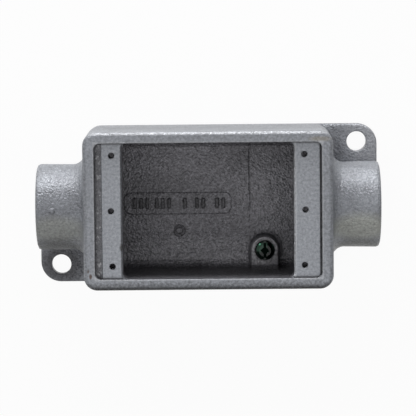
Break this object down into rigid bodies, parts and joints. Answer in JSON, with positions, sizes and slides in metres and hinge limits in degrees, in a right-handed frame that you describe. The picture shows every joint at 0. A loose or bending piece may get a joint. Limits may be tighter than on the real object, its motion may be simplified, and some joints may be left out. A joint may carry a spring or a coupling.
{
  "type": "conduit body",
  "caption": "Shallow rectangular cast box with a threaded hub at each end, diagonal mounting lugs, drilled ledges for a device and cover, and a ground screw inside.",
  "frame": {"origin": "centre of the flat back face", "axes": "+Z out of the open face, +X along the two hubs, towards the end with the ground screw, +Y towards the long side away from the ground screw"},
  "size_m": [0.1506, 0.0698, 0.0508],
  "materials": {
    "cast_grey": "sand-cast, zinc and grey finish coat, machined rim and ledges",
    "green_screw": "green dyed zinc, glossy"
  },
  "bodies": {
    "casting": {"conduit_body": "cast_grey"},
    "screw": {"ground_screw": "green_screw"}
  },
  "joints": [
    {"name": "ground_screw_turn", "type": "hinge", "parent": "casting", "child": "screw", "pos_m": [0.0248, -0.0206, 0.014], "axis": [0, 0, 1], "range_deg": [0, 900]}
  ]
}
